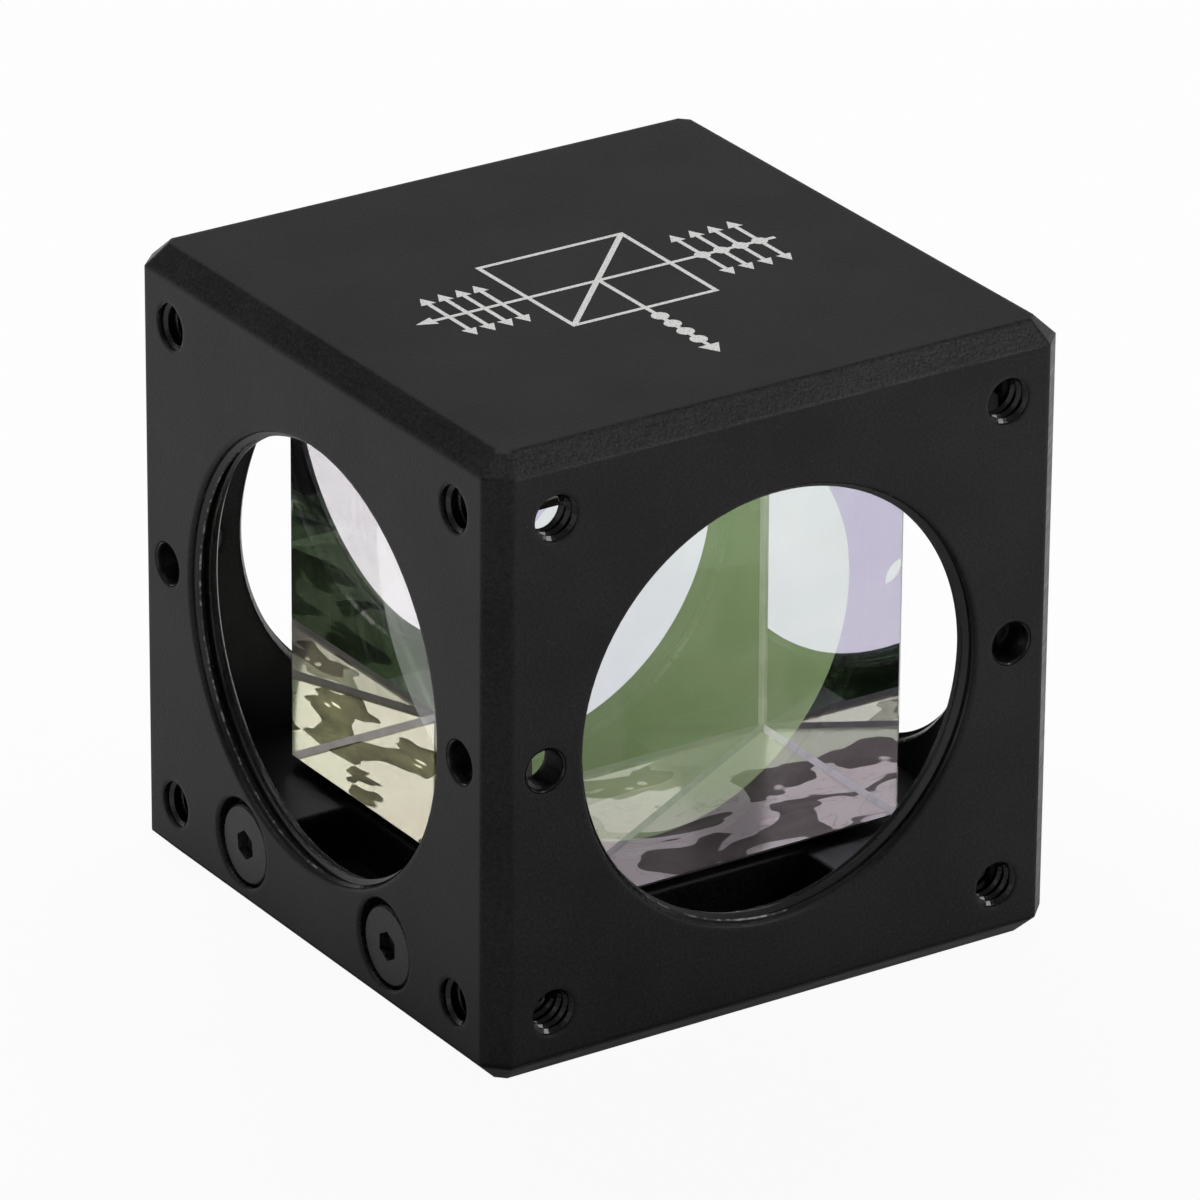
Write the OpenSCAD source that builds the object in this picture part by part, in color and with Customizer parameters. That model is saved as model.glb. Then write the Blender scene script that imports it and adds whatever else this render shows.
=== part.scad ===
/* [Cube] */
// Width, depth and height of the assembled cube
cube_w = 38.1; // [36:0.1:44]
// Width of the 45 degree chamfer along every outer edge
edge_chamfer = 1.27; // [0.6:0.01:1.5]
// Thickness of the housing's side walls
wall_t = 1.95; // [1.7:0.05:2.4]
// Thickness of the housing's top wall
roof_t = 1.95; // [1.2:0.05:3]
// Radius of the cavity's four upright corners
cavity_r = 1.6; // [0.6:0.1:2.2]

/* [Ports] */
// Major diameter of the threaded port in each side
port_d = 26.29; // [20:0.01:26.6]
// Width of the chamfer at the port's outer and inner edges
port_chamfer = 0.16; // [0.05:0.01:0.3]

/* [Cage fittings] */
// Distance from a tapped rod hole's centre to the cube's nearest two faces
rod_inset = 4.05; // [3.6:0.05:4.4]
// Major diameter of the tapped rod holes
rod_hole_d = 2.8; // [2:0.005:3]
// How far the lower rod holes go on into the base
rod_hole_reach = 4.6; // [2:0.1:6]
// Distance from a plain pin hole's centre to the cube's nearest face, at mid-height
pin_inset = 3.42; // [3.2:0.01:3.8]
// Diameter of the plain pin holes
pin_hole_d = 2.4; // [1.2:0.05:2.5]
// Chamfer at the mouth of the pin holes
pin_chamfer = 0.1; // [0.02:0.01:0.2]

/* [Base] */
// Thickness of the base's outer plate
plate_t = 1.27; // [0.8:0.01:1.6]
// Gap between the base plate and the housing's lower rim
seam_gap = 0.08; // [0.02:0.01:0.2]
// Height of the deck that the glass stands on. The glass is level with the ports when the
// deck, the adhesive and half of the glass add up to half of the cube's width
deck_h = 6; // [5.6:0.05:6.4]
// Clearance between the base's raised deck and the cavity, on each side
deck_clear = 0.05; // [0.02:0.01:0.2]
// Width of the slot in the deck behind each port
slot_w = 12; // [8:0.1:12.6]
// Height of the slot's floor above the bottom
slot_floor_h = 2.6; // [1.8:0.1:5]
// Major diameter of the tapped mounting hole in the bottom
foot_tap_d = 4.166; // [3:0.002:6]
// Depth of the mounting hole
foot_tap_depth = 4.8; // [3:0.1:5.2]
// Chamfer at the mouth of the mounting hole
foot_tap_chamfer = 0.3; // [0.1:0.05:0.6]

/* [Optic] */
// Width, depth and height of the cemented glass cube
glass_w = 25.4; // [20:0.1:25.8]
// Width of the ground bevel along the glass edges
glass_bevel = 0.3; // [0.1:0.05:0.6]
// Thickness of the adhesive between the deck and the glass
adhesive_t = 0.35; // [0.1:0.05:0.6]
// Radius that each dot of adhesive spreads to
adhesive_dot_r = 4.6; // [3.9:0.1:5]
// Distance between neighbouring dots of adhesive
adhesive_pitch = 7.2; // [5:0.1:7.4]

/* [Base screws] */
// Distance between the two screws on a side
screw_pitch = 15.36; // [14.6:0.02:17]
// Height of the counterbores above the bottom
screw_h = 4.55; // [4.3:0.05:4.8]
// Thread diameter of the screws
screw_d = 2; // [1.6:0.1:2]
// Length of the screws under the head
screw_len = 6; // [4:0.5:8]
// Diameter of the screw heads
head_d = 4.85; // [4:0.05:4.95]
// Height of the screw heads
head_h = 1; // [0.8:0.05:1.1]
// Chamfer round the edge of the screw heads
head_chamfer = 0.15; // [0.05:0.01:0.3]
// Width across the flats of the hexagon sockets
hex_af = 1.6; // [1.27:0.01:2]
// Depth of the hexagon sockets
hex_depth = 0.7; // [0.4:0.05:0.75]
// How far each socket is turned from upright, in degrees
hex_turn = [0, -6, 17, 41]; // [-60:1:60]
// Diameter of the counterbores
counterbore_d = 5.4; // [5.3:0.05:5.6]
// Chamfer at the mouth of the counterbores
counterbore_chamfer = 0.12; // [0.05:0.01:0.2]
// How far the screw heads lie below the housing's face
head_recess = 0.25; // [0.05:0.05:0.35]
// How far the screws sag in the counterbores
screw_sag = 0.2; // [0:0.05:0.2]
// Clearance round the screw threads in the housing, on each side
screw_clear = 0.25; // [0.25:0.01:0.3]
// Clearance round the screw threads in the base, on each side
thread_clear = 0.02; // [0.01:0.01:0.05]
// Room in the base beyond the screws' ends
screw_end_room = 0.6; // [0.2:0.1:1]

/* [Hidden] */
$fn = 96;
eps = 0.01;

cavity_w = cube_w - 2 * wall_t;
deck_w = cavity_w - 2 * deck_clear;
axis_z = cube_w / 2;
glass_z = deck_h + adhesive_t + glass_w / 2;
rod_u = cube_w / 2 - rod_inset;
pin_u = cube_w / 2 - pin_inset;
rim_z = plate_t + seam_gap;
seat_depth = head_h + head_recess;
screw_z = screw_h - screw_sag;

black = [0.13, 0.13, 0.14];
glass = [0.72, 0.84, 0.80, 0.45];

// Square with rounded corners, centred on the origin
module rounded_square(w, r) {
    square([w, w - 2 * r], center = true);
    square([w - 2 * r, w], center = true);
    for (sx = [-1, 1], sy = [-1, 1])
        translate([sx * (w / 2 - r), sy * (w / 2 - r)])
            circle(r);
}

// Bar along Z, centred on the origin, w by d in section, with its four long edges chamfered
module chamfered_bar(w, d, c, length) {
    x = w / 2;
    y = d / 2;
    linear_extrude(length, center = true)
        polygon([
            [c - x, -y], [x - c, -y], [x, c - y], [x, y - c],
            [x - c, y], [c - x, y], [-x, y - c], [-x, c - y]
        ]);
}

// Cube centred on the origin, with all twelve edges chamfered. The chamfer round the top and
// the bottom also follows the corners, across the ends of the upright chamfers.
module chamfered_cube(w, c) {
    across = (2 * w - 2 * c) / sqrt(2);
    intersection() {
        chamfered_bar(w, w, c, w);
        rotate([90, 0, 0]) chamfered_bar(w, w, c, w);
        rotate([90, 0, 90]) chamfered_bar(w, w, c, w);
        rotate([90, 0, 45]) chamfered_bar(across, w, c, 2 * w);
        rotate([90, 0, -45]) chamfered_bar(across, w, c, 2 * w);
    }
}

// The assembled cube's outer form, between two heights
module cube_slice(z0, z1) {
    intersection() {
        translate([0, 0, axis_z]) chamfered_cube(cube_w, edge_chamfer);
        translate([-cube_w, -cube_w, z0]) cube([2 * cube_w, 2 * cube_w, z1 - z0]);
    }
}

// Places its children on the side face at a turn of a, u along the face and at height z.
// The children's own +Z runs into the cube.
module on_side(a, u, z) {
    rotate([0, 0, a])
        translate([-cube_w / 2, u, z])
            rotate([0, 90, 0])
                children();
}

// Hole from z = 0 up to the given depth, with its mouth chamfered where mouth is over 0
module hole(d, depth, mouth) {
    translate([0, 0, -eps]) cylinder(d = d, h = depth + eps);
    if (mouth > 0)
        translate([0, 0, -eps]) cylinder(d1 = d + 2 * (mouth + eps), d2 = d, h = mouth + eps);
}

// Threaded port through a side wall, chamfered at both ends
module port() {
    hole(port_d, wall_t + eps, port_chamfer);
    translate([0, 0, wall_t - port_chamfer])
        cylinder(d1 = port_d, d2 = port_d + 2 * (port_chamfer + eps), h = port_chamfer + eps);
}

// Rod holes at the corners of one side, to the given depth
module rod_holes(a, depth) {
    for (su = [-1, 1], sz = [-1, 1])
        on_side(a, su * rod_u, axis_z + sz * rod_u)
            hole(rod_hole_d, depth, 0);
}

module pin_holes(a) {
    for (su = [-1, 1])
        on_side(a, su * pin_u, axis_z)
            hole(pin_hole_d, wall_t + eps, pin_chamfer);
}

// Counterbore and clearance hole of one base screw
module screw_seat() {
    hole(counterbore_d, seat_depth, counterbore_chamfer);
    hole(screw_d + 2 * screw_clear, wall_t + eps, 0);
}

module housing() {
    color(black)
        difference() {
            cube_slice(rim_z, cube_w);
            translate([0, 0, -eps])
                linear_extrude(cube_w - roof_t + eps) rounded_square(cavity_w, cavity_r);
            for (a = [0:90:270]) {
                on_side(a, 0, axis_z) port();
                rod_holes(a, wall_t + eps);
                pin_holes(a);
            }
            for (a = [0, 180], su = [-1, 1])
                on_side(a, su * screw_pitch / 2, screw_h) screw_seat();
        }
}

module base_platform() {
    color(black)
        difference() {
            union() {
                cube_slice(0, plate_t);
                translate([0, 0, plate_t / 2])
                    linear_extrude(deck_h - plate_t / 2)
                        rounded_square(deck_w, cavity_r - deck_clear);
            }
            // Slot behind each port, as far in as the glass
            for (a = [0:90:270])
                rotate([0, 0, a])
                    translate([glass_w / 2, -slot_w / 2, slot_floor_h])
                        cube([cube_w / 2, slot_w, deck_h]);
            for (a = [0:90:270])
                rod_holes(a, wall_t + rod_hole_reach);
            for (a = [0, 180], su = [-1, 1])
                on_side(a, su * screw_pitch / 2, screw_z)
                    cylinder(
                        d = screw_d + 2 * thread_clear,
                        h = seat_depth + screw_len + screw_end_room
                    );
            hole(foot_tap_d, foot_tap_depth, foot_tap_chamfer);
        }
}

// Half of the glass cube, on the side of the diagonal that the turn a picks. The bevels along
// the diagonal's edges leave a small groove where the two halves are cemented together.
module prism(a) {
    reach = glass_w;
    groove = glass_bevel * sqrt(2);
    translate([0, 0, glass_z])
        difference() {
            intersection() {
                chamfered_cube(glass_w, glass_bevel);
                rotate([0, 0, a])
                    linear_extrude(2 * glass_w, center = true)
                        polygon([[-reach, -reach], [reach, -reach], [reach, reach]]);
            }
            for (sz = [-1, 1])
                rotate([0, 0, 45])
                    translate([0, 0, sz * glass_w / 2])
                        rotate([45, 0, 0])
                            cube([2 * glass_w, groove, groove], center = true);
        }
}

module coated_prism() {
    color(glass) prism(0);
}

module plain_prism() {
    color(glass) prism(180);
}

// Dots of adhesive, pressed flat until they run together
module adhesive() {
    color([0.78, 0.72, 0.76, 0.6])
        translate([0, 0, deck_h])
            linear_extrude(adhesive_t)
                for (ix = [-1:1], iy = [-1:1])
                    translate([ix * adhesive_pitch, iy * adhesive_pitch]) circle(adhesive_dot_r);
}

// Low-head cap screw, its head's face at z = 0 and its thread along +Z
module cap_screw(turn) {
    color([0.24, 0.23, 0.22])
        difference() {
            union() {
                translate([0, 0, head_chamfer]) cylinder(d = head_d, h = head_h - head_chamfer);
                cylinder(d1 = head_d - 2 * head_chamfer, d2 = head_d, h = head_chamfer);
                translate([0, 0, head_h - eps]) cylinder(d = screw_d, h = screw_len + eps);
            }
            translate([0, 0, -eps])
                rotate([0, 0, turn])
                    cylinder(d = hex_af / cos(30), h = hex_depth + eps, $fn = 6);
        }
}

// The base screw on the side at a turn of a, in front of (su = -1) or behind the middle
module base_screw(a, su, turn) {
    on_side(a, su * screw_pitch / 2, screw_z)
        translate([0, 0, head_recess]) cap_screw(turn);
}

module screw_left_front() {
    base_screw(0, -1, hex_turn[0]);
}

module screw_left_rear() {
    base_screw(0, 1, hex_turn[1]);
}

module screw_right_front() {
    base_screw(180, 1, hex_turn[2]);
}

module screw_right_rear() {
    base_screw(180, -1, hex_turn[3]);
}

housing();
base_platform();
coated_prism();
plain_prism();
adhesive();
screw_left_front();
screw_left_rear();
screw_right_front();
screw_right_rear();
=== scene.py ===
import math

import bmesh
import bpy
from mathutils import Matrix, Vector
from mathutils.geometry import delaunay_2d_cdt


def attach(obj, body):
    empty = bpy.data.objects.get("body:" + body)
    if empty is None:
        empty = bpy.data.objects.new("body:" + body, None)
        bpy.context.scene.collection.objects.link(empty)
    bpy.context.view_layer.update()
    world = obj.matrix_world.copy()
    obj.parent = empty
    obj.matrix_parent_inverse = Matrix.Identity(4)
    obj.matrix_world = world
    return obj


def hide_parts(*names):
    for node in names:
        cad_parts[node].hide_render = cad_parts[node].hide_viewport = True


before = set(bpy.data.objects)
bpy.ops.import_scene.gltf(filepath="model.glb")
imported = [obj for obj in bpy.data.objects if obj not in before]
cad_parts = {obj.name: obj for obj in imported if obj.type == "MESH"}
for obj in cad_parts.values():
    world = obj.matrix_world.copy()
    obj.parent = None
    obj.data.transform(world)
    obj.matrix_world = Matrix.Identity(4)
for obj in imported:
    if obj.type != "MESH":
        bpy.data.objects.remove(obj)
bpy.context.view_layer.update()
MM = 0.001
SCENE = bpy.context.scene

# ---- Base platform -----------------------------------------------------------------------
# Plate with a raised deck that closes the housing from below and carries the glass. It is
# milled from aluminium, bead-blasted and anodised black in one bath with the housing.
GRAIN, DYE, LINT, TOOL_STREAKS = 5200, 150, 1300, 9000  # scales of the finish's patterns
LINT_GREY = (0.03, 0.03, 0.03)
ALONG_UPRIGHT = (0.05, 0.05, 1)
CHAMFER, FLAT = 0.93, 0.99  # how square a surface stands to the cube


def feed(owner, socket, value):
    # A socket takes another node's output or a plain value; owner is a material or the world
    if hasattr(value, "node"):
        owner.node_tree.links.new(value, socket)
    elif socket.type == "RGBA":
        socket.default_value = (*value, 1)
    else:
        socket.default_value = value


def node_on(owner, kind, feeds):
    node = owner.node_tree.nodes.new(kind)
    for name, value in feeds.items():
        feed(owner, node.inputs[name], value)
    return node


def coordinates_of(owner):
    return node_on(owner, "ShaderNodeTexCoord", {}).outputs["Object"]


def mapped(owner, shift=(0, 0, 0), stretch=(1, 1, 1)):
    # The object's coordinates, shifted and stretched
    mapping = node_on(owner, "ShaderNodeMapping", {
        "Vector": coordinates_of(owner), "Location": shift, "Scale": stretch,
    })
    return mapping.outputs["Vector"]


def noise_on(owner, place, scale, detail=2.0, distortion=0.0):
    noise = node_on(owner, "ShaderNodeTexNoise", {
        "Vector": place, "Scale": scale, "Detail": detail, "Distortion": distortion,
    })
    return noise.outputs["Fac"]


def spread(owner, value, low, high, to_low, to_high):
    # The value between low and high, stretched to to_low and to_high
    stretched = node_on(owner, "ShaderNodeMapRange", {
        "Value": value, "From Min": low, "From Max": high, "To Min": to_low, "To Max": to_high,
    })
    return stretched.outputs["Result"]


def colours_along(owner, value, stops):
    # A colour ramp; each stop is a place and a colour
    ramp = node_on(owner, "ShaderNodeValToRGB", {"Fac": value})
    marks = ramp.color_ramp.elements
    while len(marks) < len(stops):
        marks.new(1.0)
    for mark, (place, colour) in zip(marks, stops):
        mark.position = place
        mark.color = (*colour, 1)
    return ramp.outputs["Color"]


def worked(owner, operation, first, second=0.0):
    node = owner.node_tree.nodes.new("ShaderNodeMath")
    node.operation = operation
    feed(owner, node.inputs[0], first)
    feed(owner, node.inputs[1], second)
    return node.outputs["Value"]


def mixed(owner, share, first, second, kind="RGBA", blend="MIX"):
    # Two colours or two numbers in one, with the second's share
    node = owner.node_tree.nodes.new("ShaderNodeMix")
    node.data_type = kind
    node.blend_type = blend
    for name, value in (("Factor", share), ("A", first), ("B", second)):
        feed(owner, node.inputs[name], value)
    return node.outputs["Result"]


def squareness_on(mat):
    # 1 on faces that stand square to the cube, less on chamfers and in bores
    normal = node_on(mat, "ShaderNodeNewGeometry", {}).outputs["True Normal"]
    parts = node_on(mat, "ShaderNodeSeparateXYZ", {"Vector": normal})
    x, y, z = (worked(mat, "ABSOLUTE", parts.outputs[axis]) for axis in "XYZ")
    return worked(mat, "MAXIMUM", worked(mat, "MAXIMUM", x, y), z)


def black_anodised(name, tone, gloss, rough, cut_rough, edge_radius):
    # Dyed oxide on blasted metal: a fine grain, a slow unevenness of the dye, flecks of
    # lint, and edges that the tumbler has rounded. Chamfers and bores keep the tool's finish
    mat = bpy.data.materials.new(name)
    mat.use_nodes = True
    metal = mat.node_tree.nodes["Principled BSDF"]
    metal.inputs["Specular IOR Level"].default_value = gloss
    place = coordinates_of(mat)

    grain = noise_on(mat, place, GRAIN, 4)
    dye = spread(mat, noise_on(mat, place, DYE, 4), 0.3, 0.7, 0.8, 1.2)
    dyed = colours_along(mat, worked(mat, "MULTIPLY", grain, dye), (
        (0.36, (tone * 0.1,) * 3), (0.64, (tone * 2.8,) * 3),
    ))
    lint = node_on(mat, "ShaderNodeTexVoronoi", {"Vector": place, "Scale": LINT})
    fleck = spread(mat, lint.outputs["Distance"], 0.045, 0.085, 1.0, 0.0)
    feed(mat, metal.inputs["Base Color"], mixed(mat, fleck, dyed, LINT_GREY))

    streaks = noise_on(mat, mapped(mat, stretch=ALONG_UPRIGHT), TOOL_STREAKS, 2)
    cut = spread(mat, streaks, 0.3, 0.7, cut_rough - 0.09, cut_rough + 0.09)
    blasted = spread(mat, grain, 0.3, 0.7, rough - 0.08, rough + 0.1)
    is_flat = spread(mat, squareness_on(mat), CHAMFER, FLAT, 0.0, 1.0)
    feed(mat, metal.inputs["Roughness"], mixed(mat, is_flat, cut, blasted, "FLOAT"))

    rounded = node_on(mat, "ShaderNodeBevel", {"Radius": edge_radius})
    rounded.samples = 6
    bump = node_on(mat, "ShaderNodeBump", {
        "Height": grain, "Normal": rounded.outputs["Normal"],
        "Strength": 0.7, "Distance": 0.1 * rough ** 2 * MM,
    })
    feed(mat, metal.inputs["Normal"], bump.outputs["Normal"])
    return mat


anodised = black_anodised(
    "black_anodised", tone=0.004, gloss=0.25, rough=0.44, cut_rough=0.36, edge_radius=0.4 * MM
)
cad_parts["base_platform"].data.materials[0] = anodised

# ---- Threads in the base -----------------------------------------------------------------
# The mounting hole is tapped from below, and the two lower cage-rod threads of each side
# carry on from the housing into the deck. Taps leave a smoother oxide than blasting does.
CUBE = 38.1 * MM
DECK_SIDE = 17.05 * MM
ROD_OUT, ROD_UP = 15 * MM, 4.05 * MM
ROD_ROOT, ROD_CREST, ROD_PITCH = 1.4 * MM, 1.16 * MM, 0.635 * MM
FOOT_ROOT, FOOT_CREST, FOOT_PITCH = 2.083 * MM, 1.72 * MM, 0.794 * MM
RIDGE_FOOT, RIDGE_TIP = 0.36, 0.07  # half widths, as shares of the pitch
ROOTED = 0.02 * MM
MOUTH_SLOPE = 0.8
SAME_POINT = 1e-4 * MM
SIDES = [math.radians(a) for a in (0, 90, 180, 270)]


def cut_thread(root, crest, pitch, first, last, mouth, steps=40, turned=0.0):
    # One thread as a helical ridge standing on the bore, with depth along +Z. mouth is the
    # radius to which the chamfer opens the first and last turns
    ridge = bmesh.new()
    foot, tip = pitch * RIDGE_FOOT, pitch * RIDGE_TIP
    profile = [
        ridge.verts.new((radius, 0, along))
        for along, radius in ((-foot, root + ROOTED), (-tip, crest), (tip, crest), (foot, root + ROOTED))
    ]
    edges = [ridge.edges.new((profile[k - 1], profile[k])) for k in range(4)]
    start, length = first - foot, last - first + 2 * foot
    phase = turned + math.tau * (start - first) / pitch
    ridge.transform(Matrix.Translation((0, 0, start)) @ Matrix.Rotation(phase, 4, "Z"))
    count = math.ceil(steps * length / pitch)
    bmesh.ops.spin(
        ridge, geom=profile + edges, cent=(0, 0, 0), axis=(0, 0, 1),
        dvec=(0, 0, length / count), angle=math.tau * length / pitch, steps=count,
    )
    for v in ridge.verts:
        # Where the ridge would run out past an end of the bore, it is turned away to its edge
        v.co.z = min(max(v.co.z, first), last)
        open_to = mouth - MOUTH_SLOPE * min(v.co.z, first + last - v.co.z)
        radius = math.hypot(v.co.x, v.co.y)
        if radius < open_to:
            v.co.x, v.co.y = v.co.x * open_to / radius, v.co.y * open_to / radius
    bmesh.ops.remove_doubles(ridge, verts=ridge.verts, dist=SAME_POINT)
    bmesh.ops.dissolve_degenerate(ridge, edges=ridge.edges, dist=SAME_POINT)
    sheets = True
    while sheets:
        # Turning away leaves sheets without thickness at both ends, which come off face by face
        sheets = [f for f in ridge.faces if any(len(e.link_faces) == 1 for e in f.edges)]
        bmesh.ops.delete(ridge, geom=sheets, context="FACES")
    return ridge


def join_into(whole, part, matrix):
    part.transform(matrix)
    mesh = bpy.data.meshes.new("part")
    part.to_mesh(mesh)
    part.free()
    whole.from_mesh(mesh)
    bpy.data.meshes.remove(mesh)


def new_piece(name, shape, mat):
    bmesh.ops.recalc_face_normals(shape, faces=shape.faces)
    mesh = bpy.data.meshes.new(name)
    shape.to_mesh(mesh)
    shape.free()
    mesh.materials.append(mat)
    piece = bpy.data.objects.new(name, mesh)
    SCENE.collection.objects.link(piece)
    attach(piece, "root")
    return piece


def into_side(angle, across, height, out):
    # From a hole's own frame, depth along +Z, to its place on the side that faces angle
    outward = Vector((math.cos(angle), math.sin(angle), 0))
    along = Vector((0, 0, 1)).cross(outward)
    turn = Matrix((-along, Vector((0, 0, 1)), -outward)).transposed().to_4x4()
    return Matrix.Translation(outward * out + along * across + Vector((0, 0, height))) @ turn


thread_oxide = black_anodised(
    "thread_oxide", tone=0.003, gloss=0.4, rough=0.2, cut_rough=0.17, edge_radius=0.05 * MM
)
deck_threads = bmesh.new()
for side in SIDES:
    for across in (-ROD_OUT, ROD_OUT):
        thread = cut_thread(
            ROD_ROOT, ROD_CREST, ROD_PITCH, first=0.05 * MM, last=4.1 * MM,
            mouth=ROD_ROOT + 0.04 * MM, steps=28, turned=1.0,
        )
        join_into(deck_threads, thread, into_side(side, across, ROD_UP, DECK_SIDE))
new_piece("deck_rod_threads", deck_threads, thread_oxide)

foot_thread = cut_thread(
    FOOT_ROOT, FOOT_CREST, FOOT_PITCH, first=0.2 * MM, last=4.5 * MM, mouth=FOOT_ROOT + 0.3 * MM
)
new_piece("mounting_hole_thread", foot_thread, thread_oxide)

# ---- Adhesive ----------------------------------------------------------------------------
# Clear resin put on the deck in a grid of dots. The glass is pressed down on it, so the dots
# run together and wet the underside of the glass in blotches.
RESIN_SHRINK = 0.015 * MM
RESIN_TOP = 0.01 * MM
resin = bpy.data.materials.new("clear_adhesive")
resin.use_nodes = True
set_resin = resin.node_tree.nodes["Principled BSDF"]
set_resin.inputs["Base Color"].default_value = (0.5, 0.47, 0.36, 1)
set_resin.inputs["IOR"].default_value = 1.5
set_resin.inputs["Transmission Weight"].default_value = 0.7
ripples = noise_on(resin, coordinates_of(resin), 900, 3)
feed(resin, set_resin.inputs["Roughness"], spread(resin, ripples, 0.3, 0.7, 0.08, 0.3))


def merged_copy(node):
    shape = bmesh.new()
    shape.from_mesh(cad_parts[node].data)
    bmesh.ops.remove_doubles(shape, verts=shape.verts, dist=0.001 * MM)
    bmesh.ops.dissolve_limit(shape, angle_limit=math.radians(1), verts=shape.verts, edges=shape.edges)
    return shape


pad = merged_copy("adhesive")
pad_top = max(v.co.z for v in pad.verts)
for v in pad.verts:
    if v.co.z > pad_top - RESIN_TOP:
        v.co.z -= RESIN_SHRINK
pad_piece = new_piece("adhesive_pad", pad, resin)
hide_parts("adhesive")

# ---- Cemented prisms ---------------------------------------------------------------------
# Two right-angle prisms, cemented on their long faces, one of which has the beam-splitting
# coating. The four upright faces are polished and coated against reflection, the underside
# is polished and bonded, and every edge has a ground bevel.
GLASS_IOR = 1.5
CEMENT_FILM = 0.004 * MM
HALF_MIRROR = (0.88, 0.88, 0.88)
BEVEL_PALE = 0.6
BLOTS, BLOT_EDGE = 155, 0.005
SWIRLS, SMUDGES = 150, 110
TINT_FRONT, TINT_BACK = -1 * MM, 5 * MM
# What the coating mirrors and lets through, from straight on to grazing
MIRRORED_OUTSIDE = (
    (0.0, (0.12, 0.17, 0.09)), (0.16, (0.2, 0.27, 0.13)), (0.26, (0.24, 0.32, 0.16)),
    (0.42, (0.18, 0.185, 0.17)), (0.52, (0.185, 0.185, 0.185)), (0.8, (0.5, 0.5, 0.52)),
    (1.0, (1, 1, 1)),
)
MIRRORED_INSIDE = (
    (0.0, (0.03, 0.05, 0.03)), (0.12, (0.03, 0.05, 0.03)), (0.17, (0.29, 0.47, 0.28)),
    (0.22, (0.32, 0.5, 0.3)), (0.252, (1, 1, 1)),
)
LET_IN = (
    (0.0, (0.72, 0.7, 0.8)), (0.24, (0.65, 0.63, 0.765)), (0.4, (0.8, 0.79, 0.82)),
    (0.5, (0.89, 0.88, 0.88)), (0.8, (0.5, 0.5, 0.5)), (1.0, (0, 0, 0)),
)
LET_OUT = (0.93, 0.9, 0.94)


def bare(name):
    mat = bpy.data.materials.new(name)
    mat.use_nodes = True
    mat.node_tree.nodes.remove(mat.node_tree.nodes["Principled BSDF"])
    return mat


def shader(mat, kind, colour, rough=None):
    node = node_on(mat, kind, {"Color": colour})
    if rough is not None:
        node.inputs["Roughness"].default_value = rough
    return node.outputs["BSDF"]


def shared(mat, share, first, second):
    mix = node_on(mat, "ShaderNodeMixShader", {"Fac": share})
    feed(mat, mix.inputs[1], first)
    feed(mat, mix.inputs[2], second)
    return mix.outputs["Shader"]


def both(mat, first, second):
    add = mat.node_tree.nodes.new("ShaderNodeAddShader")
    feed(mat, add.inputs[0], first)
    feed(mat, add.inputs[1], second)
    return add.outputs["Shader"]


def finish_material(mat, surface):
    feed(mat, mat.node_tree.nodes["Material Output"].inputs["Surface"], surface)
    return mat


def coated_glass(name):
    # A coating made for one infrared line mirrors a part of the visible light, green up to
    # medium angles and neutral past them. Inside, past the critical angle, all is mirrored
    mat = bare(name)
    facing = node_on(mat, "ShaderNodeLayerWeight", {"Blend": 0.5}).outputs["Facing"]
    inside = node_on(mat, "ShaderNodeNewGeometry", {}).outputs["Backfacing"]
    wiped = colours_along(mat, noise_on(mat, coordinates_of(mat), SMUDGES, 3, 1.5), (
        (0.38, (0.88, 0.93, 0.86)), (0.62, (1.04, 1.02, 1.05)),
    ))
    outer = mixed(mat, 1.0, colours_along(mat, facing, MIRRORED_OUTSIDE), wiped, blend="MULTIPLY")
    inner = colours_along(mat, facing, MIRRORED_INSIDE)
    mirror = shader(mat, "ShaderNodeBsdfGlossy", mixed(mat, inside, outer, inner), 0.0)
    through = mixed(mat, inside, colours_along(mat, facing, LET_IN), LET_OUT)
    bend = node_on(mat, "ShaderNodeBsdfRefraction", {
        "Color": through, "Roughness": 0.0, "IOR": GLASS_IOR,
    })
    return finish_material(mat, both(mat, mirror, bend.outputs["BSDF"]))


def beam_coating(name):
    # Half of the light goes on and half is turned through a right angle
    mat = bare(name)
    on = shader(mat, "ShaderNodeBsdfTransparent", HALF_MIRROR)
    turned = shader(mat, "ShaderNodeBsdfGlossy", HALF_MIRROR, 0.0)
    return finish_material(mat, shared(mat, 0.5, on, turned))


def cemented_face(name):
    mat = bare(name)
    return finish_material(mat, shader(mat, "ShaderNodeBsdfTransparent", (1, 1, 1)))


def polished_glass(name):
    mat = bare(name)
    glass = node_on(mat, "ShaderNodeBsdfGlass", {"Roughness": 0.0, "IOR": GLASS_IOR})
    return finish_material(mat, glass.outputs["BSDF"])


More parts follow.
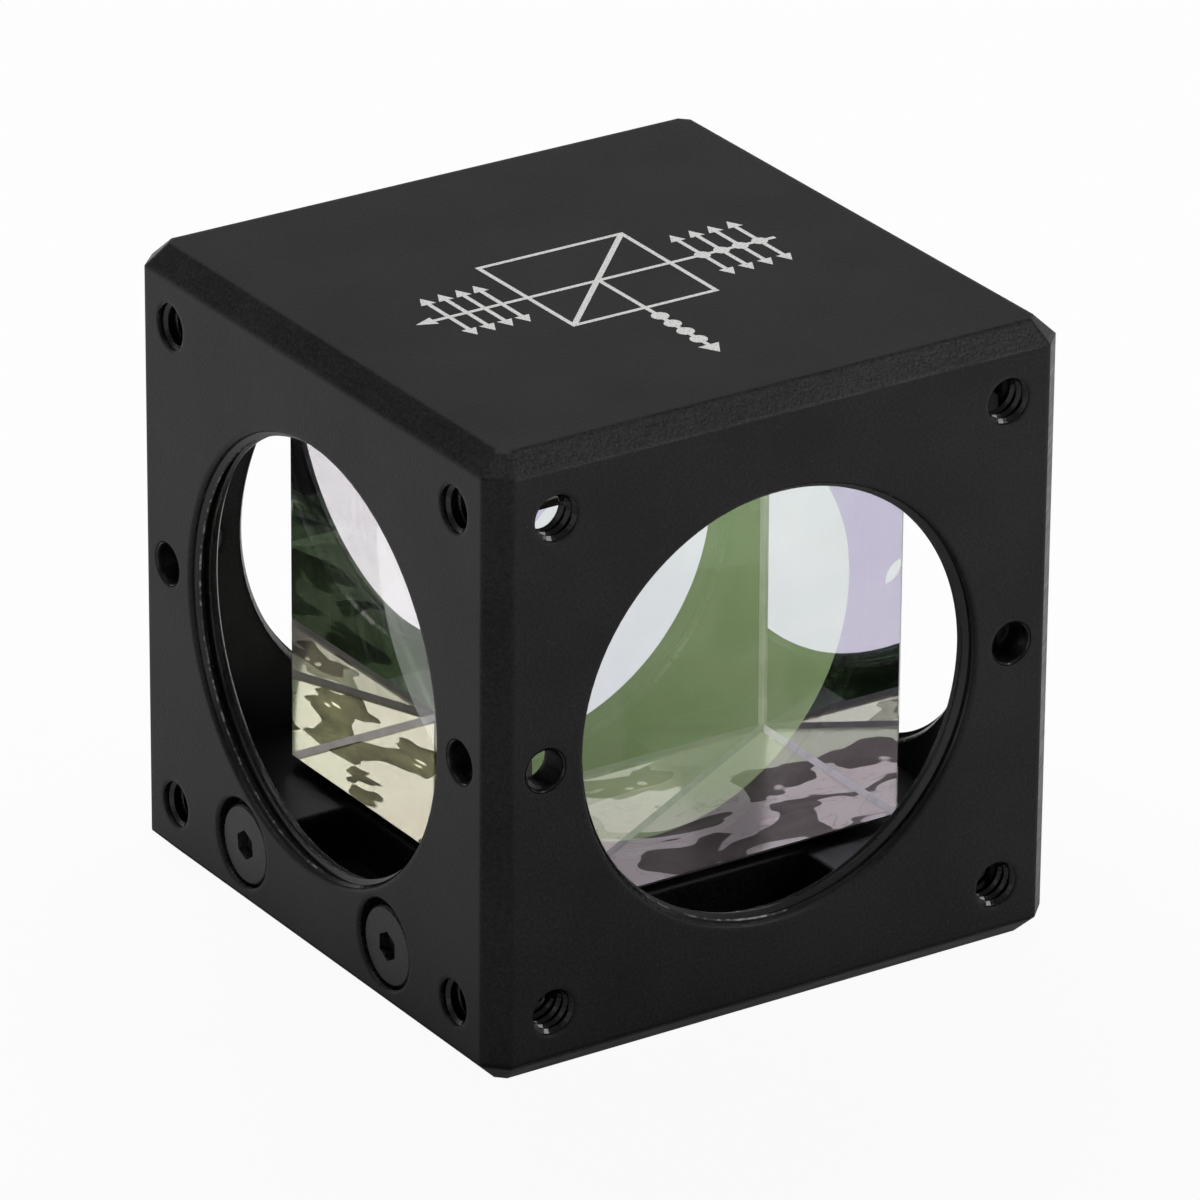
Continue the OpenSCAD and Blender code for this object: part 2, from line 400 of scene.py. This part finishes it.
def bonded_face(name, clear, warm, back, wet, wet_dark, wet_share, matt, haze, shift=(0, 0, 0)):
    # Where the resin doesn't wet the glass, the underside mirrors everything; where it does,
    # only a little comes back. A dried film makes both milky, and shifts in tint to the back
    mat = bare(name)
    place = mapped(mat, shift)
    blot = spread(
        mat, noise_on(mat, place, BLOTS, 1.9, 0.5), wet_share - BLOT_EDGE, wet_share + BLOT_EDGE, 0.0, 1.0
    )
    film = noise_on(mat, place, SWIRLS, 4, 1.6)
    brushed = tuple(c * k for c, k in zip(warm, (0.72, 0.62, 0.62)))
    swirled = colours_along(mat, film, (
        (0.3, warm), (0.42, clear), (0.485, clear), (0.495, brushed), (0.505, clear),
        (0.6, warm), (0.62, clear),
    ))
    parts = node_on(mat, "ShaderNodeSeparateXYZ", {"Vector": coordinates_of(mat)})
    to_back = spread(mat, parts.outputs["Y"], TINT_FRONT, TINT_BACK, 0.0, 1.0)
    dry_colour = mixed(mat, to_back, swirled, back)
    wet_colour = colours_along(mat, film, ((0.35, wet_dark), (0.65, wet)))
    finishes = []
    for colour, rough in ((dry_colour, haze), (wet_colour, haze + 0.05)):
        sheen = shader(mat, "ShaderNodeBsdfGlossy", colour, rough)
        milk = shader(mat, "ShaderNodeBsdfDiffuse", colour)
        finishes.append(shared(mat, matt, sheen, milk))
    return finish_material(mat, shared(mat, blot, *finishes))


def ground_glass(name, pale):
    mat = bare(name)
    tone = colours_along(mat, noise_on(mat, coordinates_of(mat), 700, 3), (
        (0.38, (pale * 0.86, pale * 0.84, pale * 0.78)), (0.56, (pale, pale * 0.97, pale * 0.9)),
    ))
    matt = shader(mat, "ShaderNodeBsdfDiffuse", tone)
    sheen = shader(mat, "ShaderNodeBsdfGlossy", tone, 0.3)
    return finish_material(mat, shared(mat, 0.55, matt, sheen))


def surface_facing(n):
    # Which of a prism's surfaces, in the order of its materials, faces along n
    if abs(n.z) < 0.01 and n.x * n.y < -0.49:
        return 1
    if n.z < -0.99:
        return 2
    if n.z > 0.99:
        return 3
    return 0 if max(abs(n.x), abs(n.y)) > 0.99 else 4


coated = coated_glass("antireflection_coated_glass")
splitter = beam_coating("beam_coating")
cement = cemented_face("cemented_face")
bare_glass = polished_glass("polished_glass")
ground = ground_glass("ground_bevel", BEVEL_PALE)
bonded_cream = bonded_face(
    "bonded_face_cream", clear=(1.0, 1.0, 0.74), warm=(1.0, 0.84, 0.68), back=(1.0, 1.0, 0.76),
    wet=(0.24, 0.24, 0.13), wet_dark=(0.09, 0.09, 0.055), wet_share=0.575, matt=0.12, haze=0.06,
)
bonded_mauve = bonded_face(
    "bonded_face_mauve", clear=(1.0, 0.92, 0.82), warm=(1.0, 0.97, 0.86), back=(0.94, 1.0, 0.72),
    wet=(0.27, 0.245, 0.215), wet_dark=(0.19, 0.17, 0.15), wet_share=0.52, matt=0.85, haze=0.16,
    shift=(3 * MM, 1 * MM, 0),
)
for node, diagonal, underside in (
    ("coated_prism", splitter, bonded_mauve), ("plain_prism", cement, bonded_cream),
):
    prism = merged_copy(node)
    for face in prism.faces:
        face.material_index = surface_facing(face.normal)
    if node == "plain_prism":
        for v in {v for f in prism.faces if f.material_index == 1 for v in f.verts}:
            v.co += Vector((-CEMENT_FILM, CEMENT_FILM, 0))
    prism_piece = new_piece(node + "_glass", prism, coated)
    for mat in (diagonal, underside, bare_glass, ground):
        prism_piece.data.materials.append(mat)
    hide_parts(node)

# ---- Housing -----------------------------------------------------------------------------
# One-piece cube shell, milled from aluminium, with a threaded port, four tapped rod holes and
# two reamed pin holes in each upright side. Its chamfers and bores are cut after blasting.
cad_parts["housing"].data.materials[0] = anodised

# ---- Threads in the housing --------------------------------------------------------------
# The thread in each port takes lens tubes, and the one in each rod hole takes the cage's rods.
# Both run through the wall. The ports' inner edges, the pin holes' mouths and the counterbores
# are turned clean, each as a thin ring.
WALL = 1.95 * MM
PORT_ROOT, PORT_CREST, PORT_PITCH, PORT_MOUTH = 13.145 * MM, 12.8 * MM, 0.635 * MM, 0.16 * MM
PIN_OUT, PIN_BORE, PIN_MOUTH = 15.63 * MM, 1.2 * MM, 0.1 * MM
SCREW_OUT, SCREW_UP, COUNTERBORE, SEAT = 7.68 * MM, 4.55 * MM, 2.7 * MM, 1.25 * MM
RING_PROUD, RING_SUNK = 0.004 * MM, 0.06 * MM
WORN_OUT, WORN_DEEP = PORT_CREST + 0.25 * MM, 0.8 * MM


def turned_ring(radius, depth, end_radius, end_depth, steps):
    # The clean surface a tool leaves from one radius and depth to another, as a thin ring
    # let into the wall
    ring = bmesh.new()
    profile = [
        ring.verts.new((r, 0, z))
        for r, z in (
            (radius - RING_PROUD, depth), (end_radius - RING_PROUD, end_depth),
            (end_radius + RING_SUNK, end_depth), (radius + RING_SUNK, depth),
        )
    ]
    edges = [ring.edges.new((profile[k - 1], profile[k])) for k in range(4)]
    bmesh.ops.spin(
        ring, geom=profile + edges, cent=(0, 0, 0), axis=(0, 0, 1),
        angle=math.tau, steps=steps, use_merge=True,
    )
    return ring


def wear_first_crest(ridge):
    # The crest next to the mouth is the one that tubes knock
    for face in ridge.faces:
        out = max(math.hypot(v.co.x, v.co.y) for v in face.verts)
        if out < WORN_OUT and face.calc_center_median().z < WORN_DEEP:
            face.material_index = 1


port_threads = bmesh.new()
rod_threads = bmesh.new()
lips = bmesh.new()
for side in SIDES:
    middle = into_side(side, 0, CUBE / 2, CUBE / 2)
    thread = cut_thread(
        PORT_ROOT, PORT_CREST, PORT_PITCH, first=0.12 * MM, last=WALL - 0.12 * MM,
        mouth=PORT_ROOT + PORT_MOUTH, steps=144, turned=2.2,
    )
    wear_first_crest(thread)
    join_into(port_threads, thread, middle)
    ring = turned_ring(PORT_ROOT + PORT_MOUTH, WALL, PORT_ROOT, WALL - PORT_MOUTH, steps=144)
    join_into(lips, ring, middle)
    for across in (-PIN_OUT, PIN_OUT):
        ring = turned_ring(PIN_BORE + PIN_MOUTH, 0.0, PIN_BORE, PIN_MOUTH, steps=48)
        join_into(rod_threads, ring, into_side(side, across, CUBE / 2, CUBE / 2))
    for across in (-ROD_OUT, ROD_OUT):
        for height in (ROD_UP, CUBE - ROD_UP):
            thread = cut_thread(
                ROD_ROOT, ROD_CREST, ROD_PITCH, first=0.03 * MM, last=WALL - 0.03 * MM,
                mouth=ROD_ROOT + 0.02 * MM, steps=28, turned=0.6,
            )
            join_into(rod_threads, thread, into_side(side, across, height, CUBE / 2))
for side in (SIDES[0], SIDES[2]):
    for across in (-SCREW_OUT, SCREW_OUT):
        ring = turned_ring(COUNTERBORE, 0.13 * MM, COUNTERBORE, SEAT - 0.02 * MM, steps=64)
        join_into(lips, ring, into_side(side, across, SCREW_UP, CUBE / 2))

worn = bpy.data.materials.new("worn_oxide")
worn.use_nodes = True
set_worn = worn.node_tree.nodes["Principled BSDF"]
set_worn.inputs["Roughness"].default_value = 0.4
rubbed = spread(worn, noise_on(worn, coordinates_of(worn), 2600, 5), 0.5, 0.68, 0.0, 1.0)
feed(worn, set_worn.inputs["Metallic"], rubbed)
feed(worn, set_worn.inputs["Base Color"], colours_along(worn, rubbed, (
    (0.0, (0.01, 0.01, 0.01)), (1.0, (0.34, 0.34, 0.35)),
)))
bright_cut = black_anodised(
    "bright_cut_oxide", tone=0.006, gloss=0.9, rough=0.2, cut_rough=0.2, edge_radius=0.03 * MM
)
port_piece = new_piece("port_threads", port_threads, thread_oxide)
port_piece.data.materials.append(worn)
new_piece("rod_hole_threads", rod_threads, thread_oxide)
new_piece("bore_lips", lips, bright_cut)

# ---- Beam diagram ------------------------------------------------------------------------
# Laser-marked on the top: the oxide is burnt to a pale grey. A square with its diagonal
# stands for the glass; arrows and dots give the two directions of polarization.
MARK_LOW, MARK_HIGH = CUBE - 0.01 * MM, CUBE + 0.01 * MM
# The rest of the drawing is in millimetres, from the middle of the top
THIN, THICK = 0.285, 0.34
SQUARE = ((-4.9, 4.75), (4.75, 4.75), (4.7, -5.03), (-4.8, -5.03))
BEAM_Y, BEAM_ENDS = -0.33, (-11.3, 11.86)
ACROSS_OUT, ACROSS_IN = (-10.05, -8.87, -7.7, -6.55), (6.92, 8.22, 9.5, 10.82)
DOTS_ASIDE = (-6.45, -7.73, -9.02, -10.33)
HEAD_HALF, HEAD_LONG = 0.49, 0.95
DOT_CORNERS = 24
burnt = bpy.data.materials.new("laser_mark")
burnt.use_nodes = True
frost = burnt.node_tree.nodes["Principled BSDF"]
frost.inputs["Roughness"].default_value = 0.8
frost.inputs["Specular IOR Level"].default_value = 0.2
burn_grain = noise_on(burnt, coordinates_of(burnt), 9000, 2)
feed(burnt, frost.inputs["Base Color"], colours_along(burnt, burn_grain, (
    (0.34, (0.4, 0.4, 0.4)), (0.46, (0.8, 0.8, 0.79)),
)))
spots, strokes = [], []


def mark(points):
    # A flat stroke with these corners, counted anticlockwise
    turn = sum(a[0] * b[1] - b[0] * a[1] for a, b in zip(points, points[1:] + points[:1]))
    strokes.append(list(range(len(spots), len(spots) + len(points))))
    spots.extend(Vector(point) for point in (points if turn > 0 else reversed(points)))


def line(start, end, width=THIN):
    a, b = Vector(start), Vector(end)
    half = (b - a).normalized().orthogonal() * (width / 2)
    mark([a + half, a - half, b - half, b + half])


def arrow(tip, back, half_width=HEAD_HALF, length=HEAD_LONG):
    tip, way = Vector(tip), Vector(back).normalized()
    foot = tip + way * length
    half = way.orthogonal() * half_width
    mark([tip, foot + half, foot - half])


def dot(x, y, radius):
    angles = [t * math.tau / DOT_CORNERS for t in range(DOT_CORNERS)]
    mark([(x + radius * math.cos(angle), y + radius * math.sin(angle)) for angle in angles])


for k in range(4):
    line(SQUARE[k - 1], SQUARE[k])
    x, y = SQUARE[k]
    mark([(x + i * THIN / 2, y + j * THIN / 2) for i, j in ((-1, -1), (1, -1), (1, 1), (-1, 1))])
line(SQUARE[1], SQUARE[3], THICK)
line((BEAM_ENDS[0], BEAM_Y), (BEAM_ENDS[1], BEAM_Y))
arrow((-12.24, BEAM_Y), (1, 0), 0.5, 1.2)
for x in ACROSS_OUT:
    line((x, 2.0), (x, -2.6))
    arrow((x, 2.75), (0, -1))
    arrow((x, -3.3), (0, 1))
for x in ACROSS_IN:
    line((x, 2.3), (x, -2.9))
    arrow((x, 3.08), (0, -1))
    arrow((x, -3.64), (0, 1))
    dot(x, -0.32, 0.48)
line((-0.1, -0.4), (0, -11.5))
arrow((0, -12.48), (0, 1), 0.69, 1.18)
for y in DOTS_ASIDE:
    dot(0, y, 0.52)

# Crossing strokes become one thin burnt skin, sunk a little into the top
spots, _, patches, _, _, within = delaunay_2d_cdt(spots, [], strokes, 1, 1e-4)
diagram = bmesh.new()
corners = [diagram.verts.new((x * MM, y * MM, MARK_HIGH)) for x, y in spots]
skin = [diagram.faces.new([corners[k] for k in patch]) for patch, owners in zip(patches, within) if owners]
bmesh.ops.delete(diagram, geom=[v for v in corners if not v.link_faces], context="VERTS")
sides = bmesh.ops.extrude_face_region(diagram, geom=skin)
low = [v for v in sides["geom"] if isinstance(v, bmesh.types.BMVert)]
bmesh.ops.translate(diagram, verts=low, vec=(0, 0, MARK_LOW - MARK_HIGH))
new_piece("beam_diagram", diagram, burnt)

# ---- Base screws -------------------------------------------------------------------------
# Four low-head socket screws of blackened steel, two in each of two sides, hold the housing
# to the base.
steel = black_anodised(
    "black_steel", tone=0.012, gloss=0.42, rough=0.42, cut_rough=0.3, edge_radius=0.07 * MM
)
for name in ("screw_left_front", "screw_left_rear", "screw_right_front", "screw_right_rear"):
    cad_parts[name].data.materials[0] = steel

# ---- Floor, lights and camera --------------------------------------------------------------
# A matt white table in a pale room, under one large soft lamp, with a small one on the right. Painted
# shadows of the cube darken the table's colour.
FLOOR_HALF = 3.0
TABLE_WHITE = (0.9, 0.9, 0.9)
TABLE_SEEN, TABLE_IN_GLOSS = 0.95, 0.38  # how much of it glows, seen straight and in gloss
# Painted contact shadow in gloss: the table's glow share at the cube's foot, and how far out it rises to
# the full share
TABLE_AT_FOOT, FOOT_REACH = 0.15, 4 * MM
# Painted shadows, put in the table's colour where the cube keeps the light from it: the middle of each,
# and the distances over which each fades
PAINTED_SHADOWS = (((-0.012, -0.028, 0), 0.008, 0.058), ((-0.062, -0.046, 0), 0.02, 0.05))
sheet = bmesh.new()
bmesh.ops.create_grid(sheet, x_segments=1, y_segments=1, size=FLOOR_HALF)
floor = bpy.data.objects.new("floor", bpy.data.meshes.new("floor"))
sheet.to_mesh(floor.data)
sheet.free()
SCENE.collection.objects.link(floor)

white = bpy.data.materials.new("white_table")
white.use_nodes = True
paint = white.node_tree.nodes["Principled BSDF"]
paint.inputs["Roughness"].default_value = 0.9
paint.inputs["Specular IOR Level"].default_value = 0.0
painted_shadow_tones = []
for middle, near, far in PAINTED_SHADOWS:
    away = node_on(white, "ShaderNodeVectorMath", {})
    away.operation = "LENGTH"
    feed(white, away.inputs[0], mapped(white, shift=[-c for c in middle]))
    painted_shadow_tones.append(spread(white, away.outputs["Value"], near, far, 0.0, 1.0))
# The table's white, darkened by the painted shadows
feed(white, paint.inputs["Base Color"], colours_along(white, worked(white, "MINIMUM", *painted_shadow_tones), (
    (0.0, (0, 0, 0)), (1.0, TABLE_WHITE),
)))


def seen_straight(owner, path):
    # Rays from the camera, also those that have come through the glass
    return worked(owner, "MAXIMUM", path.outputs["Is Camera Ray"], path.outputs["Is Transmission Ray"])


path = node_on(white, "ShaderNodeLightPath", {})
seen = worked(white, "MULTIPLY", seen_straight(white, path), TABLE_SEEN)
# Painted contact shadow: close to the cube's foot the table glows less in gloss, so a polished thing near
# the table mirrors a painted shade there
parts = node_on(white, "ShaderNodeSeparateXYZ", {"Vector": coordinates_of(white)})
x, y = (worked(white, "ABSOLUTE", parts.outputs[axis]) for axis in "XY")
from_foot = worked(white, "MAXIMUM", x, y)
painted_foot_shade = spread(white, from_foot, CUBE / 2, CUBE / 2 + FOOT_REACH, TABLE_AT_FOOT, TABLE_IN_GLOSS)
mirrored = worked(white, "MULTIPLY", path.outputs["Is Glossy Ray"], painted_foot_shade)
glow = node_on(white, "ShaderNodeEmission", {})
finish_material(white, shared(
    white, worked(white, "MAXIMUM", seen, mirrored), paint.outputs["BSDF"], glow.outputs["Emission"]
))
floor.data.materials.append(white)

# The room is bright near the horizon and dim above, but white where it is seen straight
ROOM_LOW, ROOM_HIGH = 0.12, 0.42
ROOM_BRIGHT, ROOM_DIM = 0.8, 0.2
world = bpy.data.worlds.new("studio")
SCENE.world = world
world.use_nodes = True
sky = world.node_tree.nodes["Background"]
sky.inputs["Color"].default_value = (1, 1, 1, 1)
way = node_on(world, "ShaderNodeTexCoord", {}).outputs["Generated"]
height = node_on(world, "ShaderNodeSeparateXYZ", {"Vector": way}).outputs["Z"]
room = spread(world, height, ROOM_LOW, ROOM_HIGH, ROOM_BRIGHT, ROOM_DIM)
straight = seen_straight(world, node_on(world, "ShaderNodeLightPath", {}))
feed(world, sky.inputs["Strength"], spread(world, straight, 0.0, 1.0, room, 1.0))

AIM = Vector((0, 0, 0.02))


def softbox(name, place, size, power):
    lamp = bpy.data.lights.new(name, "AREA")
    lamp.size = size
    lamp.energy = power
    ob = bpy.data.objects.new(name, lamp)
    SCENE.collection.objects.link(ob)
    ob.location = place
    ob.rotation_euler = (AIM - Vector(place)).to_track_quat("-Z", "Y").to_euler()


softbox("top_softbox", (0.0, 0.15, 1.0), size=0.8, power=4.9)
softbox("right_softbox", (0.65, -0.6, 0.62), size=0.35, power=2.7)

# A long lens looks down on the corner between the left and front sides
CAMERA_PLACE = (-0.28126, -0.42873, 0.25231)
CAMERA_AHEAD = Vector((0.49878, 0.76072, -0.41535)).normalized()
CAMERA_ROLL = math.radians(0.417)
view = bpy.data.cameras.new("camera")
view.lens = 296.11
view.sensor_width = 36
view.shift_x = 0.0064
view.clip_start = 0.01
camera = bpy.data.objects.new("camera", view)
SCENE.collection.objects.link(camera)
level_right = CAMERA_AHEAD.cross(Vector((0, 0, 1))).normalized()
level_up = level_right.cross(CAMERA_AHEAD)
right = level_right * math.cos(CAMERA_ROLL) + level_up * math.sin(CAMERA_ROLL)
turned = Matrix((right, right.cross(CAMERA_AHEAD), -CAMERA_AHEAD)).transposed().to_4x4()
camera.matrix_world = Matrix.Translation(CAMERA_PLACE) @ turned
SCENE.camera = camera
SCENE.view_settings.view_transform = "Standard"
